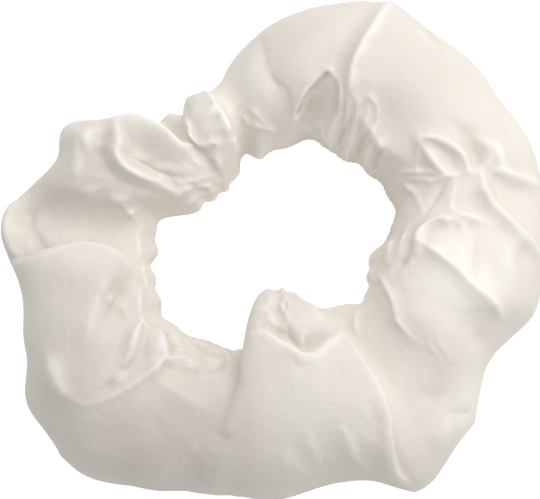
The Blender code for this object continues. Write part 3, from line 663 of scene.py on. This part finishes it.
def surplus_maps(level, angle, turn):
    """Rest lengths round the ring and across it as shares of the form's, and nearness to the hole."""
    near_hole = np.exp(-(from_hole(turn) / surplus_column("reach", angle)) ** 2)
    at_rim = np.exp(-((np.mod(turn, 1) - RIM_MIDDLE) / RIM_REACH) ** 2)
    rest = surplus_column("rest", angle)
    hole = level.hole * surplus_column("hole", angle) * near_hole
    along = 1 + hole + level.rim * at_rim + level.rest * rest * (1 - near_hole) * (1 - at_rim)
    return along, 1 + level.across * rest, near_hole


def pull(points, first, second, rest, weight):
    """Moves pairs of points towards their rest distance."""
    way = points[second] - points[first]
    gap = np.sqrt((way ** 2).sum(axis=-1)) + LEAST_GAP
    way *= (0.5 * weight * (gap - rest) / gap)[..., None]
    points[first] += way
    points[second] -= way


def settle(points, form, along, across, level, hold):
    """Lets the cloth buckle into the length that it has, held to the form and stiff against bending."""
    count = form.shape[1]
    following = np.roll(form, -1, 0)
    rest_along = length(following - form) * along
    rest_across = length(np.diff(form, axis=1)) * (across[:, 1:] + across[:, :-1]) / 2
    unstretched = rest_along[:, 1:] / along[:, 1:]
    looser = np.hypot(rest_along[:, 1:], rest_across) / np.hypot(unstretched, rest_across)
    rest_down = length(following[:, 1:] - form[:, :-1]) * looser
    rest_up = length(following[:, :-1] - form[:, 1:]) * looser
    even = np.s_[::2]
    odd = np.s_[1::2]
    left = np.s_[:-1]
    right = np.s_[1:]
    everywhere = np.s_[:]
    for _ in range(level.rounds):
        for step in (0, 1):
            points = np.roll(points, -step, 0)
            pull(points, even, odd, np.roll(rest_along, -step, 0)[even], PULL)
            pull(points, (even, left), (odd, right), np.roll(rest_down, -step, 0)[even], SHEAR)
            pull(points, (even, right), (odd, left), np.roll(rest_up, -step, 0)[even], SHEAR)
            points = np.roll(points, step, 0)
        for start, pairs in ((0, count // 2), (1, (count - 1) // 2)):
            first = (everywhere, slice(start, start + 2 * pairs, 2))
            second = (everywhere, slice(start + 1, start + 1 + 2 * pairs, 2))
            pull(points, first, second, rest_across[first], PULL)
        curve = np.roll(points, -1, 0) + np.roll(points, 1, 0) - 2 * points
        bending = np.roll(curve, -1, 0) + np.roll(curve, 1, 0) - 2 * curve
        curve = np.zeros_like(points)
        curve[:, 1:-1] = points[:, 2:] + points[:, :-2] - 2 * points[:, 1:-1]
        bending[:, 1:-1] += curve[:, 2:] + curve[:, :-2] - 2 * curve[:, 1:-1]
        bending[:, 0] += curve[:, 1]
        bending[:, -1] += curve[:, -2]
        points -= level.bend * bending
        points += hold[..., None] * (form - points)
        points[..., 2] = np.maximum(points[..., 2], 0)
    return points


def cubic_rows(values, place, closed):
    """Smooth values between the rows of a table, at places counted in rows."""
    row = np.floor(place).astype(int)
    t = (place - row)[:, None, None]
    steps = [row - 1, row, row + 1, row + 2]
    count = len(values)
    a, b, c, d = (values[step % count if closed else np.clip(step, 0, count - 1)] for step in steps)
    return b + 0.5 * t * (c - a + t * (2 * a - 5 * b + 4 * c - d + t * (3 * b - a - 3 * c + d)))


def finer(values, rounds, across):
    """The same surface or field on a finer grid."""
    fine = cubic_rows(values, np.arange(rounds) * len(values) / rounds, True)
    place = np.linspace(0, values.shape[1] - 1, across)
    return np.swapaxes(cubic_rows(np.swapaxes(fine, 0, 1), place, False), 0, 1)


def unevenness(level, bumps, seed):
    """Smooth noise from -1 to 1 over the cloth."""
    noise = np.random.default_rng(seed).normal(size=(*bumps, 1))
    noise = finer(noise, level.round, level.across_count)
    return noise / np.abs(noise).max()


def join_seam(points):
    """Brings the two edges of the cloth together where they are sewn."""
    apart = (points[:, -1] - points[:, 0]) / 2
    for column in range(SEAM_COLUMNS):
        share = (1 - column / SEAM_COLUMNS) ** 2
        points[:, column] += share * apart
        points[:, -1 - column] -= share * apart
    return points


def grid_normals(points):
    across = np.gradient(points, axis=1)
    return unit(np.cross(across, np.roll(points, -1, 0) - np.roll(points, 1, 0)))


def side_crease(row):
    path = [(row.angle + share * row.slant, turn, strength) for share, turn, strength in SIDE_PATH]
    return Fold("side crease", path, row.height, SIDE_CREASE_WIDTH, SIDE_CREASE_WIDTH, SIDE_CREASE_CREST)


def cloth_points():
    """Rows of points of the settled cloth, from seam to seam, and how high its creases are there."""
    points = None
    for seed, level in enumerate(LEVELS):
        rounds = np.arange(level.round) * 360 / level.round
        angle, turn = np.meshgrid(rounds, strip_turns(level.across_count), indexing="ij")
        base = tube(angle, turn)
        normals = tube_normal(angle, turn)
        form = base + (gathers(angle, turn) + flutes(angle, turn))[..., None] * normals
        for fold in FOLDS:
            form = form + fold_shift(fold, base, normals, FOLD_SIZE)
        form = form + (DIMPLE_DEPTH * unevenness(level, DIMPLES, DIMPLE_SEED)) * normals
        tents = np.zeros_like(base)
        creased = np.zeros_like(base)
        for fold in CREASES + tuple(side_crease(row) for row in SIDE_CREASES):
            tents = tents + fold_shift(fold, base, normals, TENT_SIZE)
            creased = creased + fold_shift(fold, base, normals, CREASE_SIZE)
        uneven = 1 + CREASE_UNEVENNESS * unevenness(level, CREASE_BUMPS, CREASE_SEED)
        form = form + tents * uneven
        creased = creased * uneven
        form[..., 2] = np.maximum(form[..., 2], 0)
        outward = grid_normals(form)
        if level.round >= CREASES_FROM:
            form = form + creased
            form[..., 2] = np.maximum(form[..., 2], 0)
        if points is None:
            points = form.copy()
        else:
            points = finer(points, level.round, level.across_count)
            if level.round == CREASES_FROM:
                points = points + creased
        points = points + level.noise * unevenness(level, level.bumps, seed + NOISE_SEED) * outward
        along, across, near_hole = surplus_maps(level, angle, turn)
        plain = length(np.roll(base, -1, 0) - base)
        shaped = length(np.roll(form, -1, 0) - form)
        along = along * np.minimum(1, LONGEST_SLOPE * plain / shaped)
        marked = np.clip(length(creased) / CREASE_MARK, 0, 1)
        hold = level.hold + PANEL_HOLD * (1 - near_hole) + level.crease_hold * marked
        points = settle(points, form, along, across, level, hold)
    return join_seam(points), (creased * normals).sum(axis=-1)


def flat_ends(rows):
    """Parts the first and the last row of points, which meet at the seam."""
    rows[:, 0, 2] += SEAM_GAP / 2
    rows[:, -1, 2] -= SEAM_GAP / 2
    rows[..., 2] = np.maximum(rows[..., 2], 0)
    return rows


def bulge(points):
    """How far each point stands out from its neighbours, about -1 to 1."""
    mean = points.copy()
    for _ in range(CURVE_SMOOTHING):
        mean[:, 1:-1] = (mean[:, 2:] + mean[:, :-2]) / 4 + mean[:, 1:-1] / 2
        mean = (np.roll(mean, 1, 0) + np.roll(mean, -1, 0)) / 4 + mean / 2
    height = ((points - mean) * grid_normals(points)).sum(axis=-1)
    return np.clip(height / CURVE_UNIT, -1, 1)


def painted_patch_light(points):
    """Painted light and shade at each point, from painted shade below 0 to painted light above it."""
    tint = np.zeros(points.shape[:2])
    for patch in PAINTED_LIGHT_PATCHES:
        middle = tube(np.array(patch.angle), np.array(patch.turn))
        tint += patch.tint * np.exp(-((points - middle) ** 2).sum(axis=-1) / patch.reach ** 2)
    return np.clip(tint, -1, 1)


def add_object(name, data):
    item = bpy.data.objects.new(name, data)
    bpy.context.scene.collection.objects.link(item)
    return item


def make_sleeve():
    points, creases = cloth_points()
    points[..., :2] += RING_SHIFT
    points = flat_ends(points)
    rounds, across = points.shape[:2]
    i, j = np.meshgrid(np.arange(rounds), np.arange(across - 1), indexing="ij")
    following = (i + 1) % rounds
    corners = (i * across + j, i * across + j + 1, following * across + j + 1, following * across + j)
    faces = np.stack(corners, axis=-1).reshape(-1, 4)
    mesh = bpy.data.meshes.new("satin_sleeve")
    mesh.vertices.add(rounds * across)
    mesh.vertices.foreach_set("co", points.astype(np.float32).ravel())
    mesh.loops.add(faces.size)
    mesh.loops.foreach_set("vertex_index", faces.astype(np.int32).ravel())
    mesh.polygons.add(len(faces))
    mesh.polygons.foreach_set("loop_start", np.arange(0, faces.size, 4, dtype=np.int32))
    mesh.update(calc_edges=True)
    mesh.shade_smooth()
    along = np.stack([i, i, i + 1, i + 1], axis=-1) * CLOTH_LENGTH / rounds
    over = (strip_turns(across) - SEAM_TURN)[np.stack([j, j + 1, j + 1, j], axis=-1)] * CLOTH_WIDTH
    cloth = mesh.uv_layers.new(name="Cloth")
    cloth.uv.foreach_set("vector", np.stack([along, over], axis=-1).astype(np.float32).ravel())
    creases = np.clip(creases / CREASE_UNIT, -1, 1)
    # crest and crease carry the painted highlights and painted shade, and tint carries the painted patches
    # of light and shade
    for name, values in (("crest", bulge(points)), ("crease", creases), ("tint", painted_patch_light(points))):
        attribute = mesh.attributes.new(name, "FLOAT", "POINT")
        attribute.data.foreach_set("value", values.astype(np.float32).ravel())
    return add_object("satin_sleeve", mesh)


class Nodes:
    """Builds a material's nodes."""

    def __init__(self, name):
        self.material = bpy.data.materials.new(name)
        self.material.use_nodes = True
        self.tree = self.material.node_tree
        self.shader = self.tree.nodes["Principled BSDF"]

    def add(self, kind, inputs=None, **settings):
        node = self.tree.nodes.new("ShaderNode" + kind)
        for key, value in settings.items():
            setattr(node, key, value)
        self.feed(node, inputs or {})
        return node

    def feed(self, node, inputs):
        """Links or sets each input by its name or number."""
        for name, value in inputs.items():
            if hasattr(value, "links"):
                self.tree.links.new(value, node.inputs[name])
            else:
                node.inputs[name].default_value = value

    def math(self, operation, first, second):
        return self.add("Math", {0: first, 1: second}, operation=operation).outputs[0]

    def scaled(self, vector, scale):
        return self.add("Mapping", {"Vector": vector, "Scale": scale}).outputs[0]

    def noise(self, vector, scale=1.0, detail=2.0, roughness=0.5):
        inputs = {"Vector": vector, "Scale": scale, "Detail": detail, "Roughness": roughness}
        return self.add("TexNoise", inputs).outputs["Fac"]

    def spread(self, value, low, high, to_low, to_high):
        inputs = {"Value": value, "From Min": low, "From Max": high, "To Min": to_low, "To Max": to_high}
        return self.add("MapRange", inputs).outputs["Result"]

    def mix(self, share, first, second):
        return self.add("Mix", {"Factor": share, 6: first, 7: second}, data_type="RGBA").outputs[2]

    def bump(self, height, distance, **under):
        return self.add("Bump", {"Height": height, "Distance": distance, **under}).outputs["Normal"]


def satin():
    """Ivory satin: long uneven threads round the ring, with painted highlights on the crests, painted shade
    in the creases and hollows, and painted patches of light and shade.
    """
    m = Nodes("ivory_satin")
    cloth = m.add("UVMap", uv_map="Cloth").outputs["UV"]
    where = m.add("TexCoord").outputs["Object"]
    threads = m.noise(m.scaled(cloth, THREAD_SCALE), 1.0, FINE_DETAIL, FINE_ROUGHNESS)
    slubs = m.noise(m.scaled(cloth, SLUB_SCALE))
    clouds = m.noise(where, CLOUD_SCALE)
    mottle = m.noise(where, MOTTLE_SCALE, FINE_DETAIL, FINE_ROUGHNESS)
    colour = m.mix(m.spread(clouds, *NOISE_SPAN, 0, 1), SATIN_SHADE, SATIN_COLOUR)
    colour = m.mix(m.spread(threads, *NOISE_SPAN, 0, THREAD_TINT), colour, SATIN_THREAD)
    # Paints light and shade into the colour: highlights on crests, shade in creases and hollows, and patches
    # of light and shade
    for tint in PAINTED_LIGHT_TINTS:
        value = m.add("Attribute", attribute_name=tint.value).outputs["Fac"]
        colour = m.mix(m.spread(value, tint.start, 1, 0, tint.share), colour, tint.above)
        colour = m.mix(m.spread(value, -tint.start, -1, 0, tint.share), colour, tint.below)
    normal = m.bump(mottle, MOTTLE_DEPTH, Normal=m.bump(threads, THREAD_DEPTH))
    m.feed(m.shader, {
        "Base Color": colour,
        "Roughness": m.spread(threads, *NOISE_SPAN, *SATIN_ROUGHNESS),
        "Normal": m.bump(slubs, SLUB_DEPTH, Normal=normal),
        "Specular IOR Level": SATIN_SPECULAR,
        "Sheen Weight": SATIN_SHEEN,
        "Sheen Roughness": SATIN_SHEEN_ROUGHNESS,
    })
    return m.material


def braid():
    """Matt braided elastic: lengthwise ribs crossed by fine threads."""
    m = Nodes("braided_elastic")
    where = m.add("TexCoord").outputs["Object"]
    ribs = m.add("TexWave", {"Vector": where, "Scale": RIB_SCALE}, bands_direction="Z").outputs["Fac"]
    fibres = m.noise(m.scaled(where, FIBRE_SCALE), 1.0, FINE_DETAIL)
    m.feed(m.shader, {
        "Base Color": m.mix(m.math("MULTIPLY", ribs, fibres), ELASTIC_SHADE, ELASTIC_COLOUR),
        "Roughness": m.spread(fibres, *NOISE_SPAN, *ELASTIC_ROUGHNESS),
        "Normal": m.bump(fibres, FIBRE_DEPTH, Normal=m.bump(ribs, RIB_DEPTH)),
    })
    return m.material


def aim(item, place, target, up):
    back = (Vector(place) - Vector(target)).normalized()
    right = Vector(up).cross(back).normalized()
    over = back.cross(right)
    item.matrix_world = Matrix((
        (right.x, over.x, back.x, place[0]),
        (right.y, over.y, back.y, place[1]),
        (right.z, over.z, back.z, place[2]),
        (0, 0, 0, 1),
    ))


def make_floor():
    half = FLOOR_SIZE / 2
    mesh = bpy.data.meshes.new("floor")
    corners = [(-half, -half, 0), (half, -half, 0), (half, half, 0), (-half, half, 0)]
    mesh.from_pydata(corners, [], [(0, 1, 2, 3)])
    floor = add_object("floor", mesh)
    m = Nodes("white_floor")
    seen = m.math("MULTIPLY", m.add("LightPath").outputs["Is Camera Ray"], FLOOR_GLOW)
    place = m.add("NewGeometry").outputs["Position"]
    away = m.add("VectorMath", {0: place}, operation="LENGTH").outputs["Value"]
    lit = m.spread(away, *HOLE_GLOW_REACH, HOLE_GLOW, 0)
    m.feed(m.shader, {
        "Base Color": FLOOR_COLOUR,
        "Roughness": 1.0,
        "Specular IOR Level": 0.0,
        "Emission Color": WHITE,
        "Emission Strength": m.math("ADD", seen, lit),
    })
    mesh.materials.append(m.material)


def make_light():
    for window in WINDOWS:
        lamp = bpy.data.lights.new(window.name, "AREA")
        lamp.size = window.size
        lamp.energy = window.power
        lamp.color = WINDOW_COLOUR
        aim(add_object(window.name, lamp), window.place, (0, 0, 0), (0, 0, 1))
    world = bpy.data.worlds.new("white_room")
    world.use_nodes = True
    room = world.node_tree.nodes["Background"]
    room.inputs["Color"].default_value = WHITE
    room.inputs["Strength"].default_value = ROOM_LIGHT
    bpy.context.scene.world = world


def make_camera():
    """Camera at the photo's angle, framed as the photo is."""
    middle = Vector((RING_SHIFT[0] - PHOTO_OFFSET * METRES_PER_PIXEL, RING_SHIFT[1], CAMERA_AIM_HEIGHT))
    tilt = radians(CAMERA_ELEVATION)
    place = middle + Vector((0, -cos(tilt), sin(tilt))) * CAMERA_DISTANCE
    data = bpy.data.cameras.new("camera")
    data.sensor_fit = "HORIZONTAL"
    data.lens = data.sensor_width * CAMERA_DISTANCE / (PHOTO_WIDTH * METRES_PER_PIXEL)
    camera = add_object("camera", data)
    aim(camera, place, middle, (0, 1, 0))
    bpy.context.scene.camera = camera


bpy.context.scene.view_settings.view_transform = "Standard"
make_camera()
make_light()
make_floor()

sleeve = make_sleeve()
sleeve.data.materials.append(satin())
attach(sleeve, "root")
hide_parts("sleeve")

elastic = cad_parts["elastic_ring"]
elastic.data.materials.clear()
elastic.data.materials.append(braid())
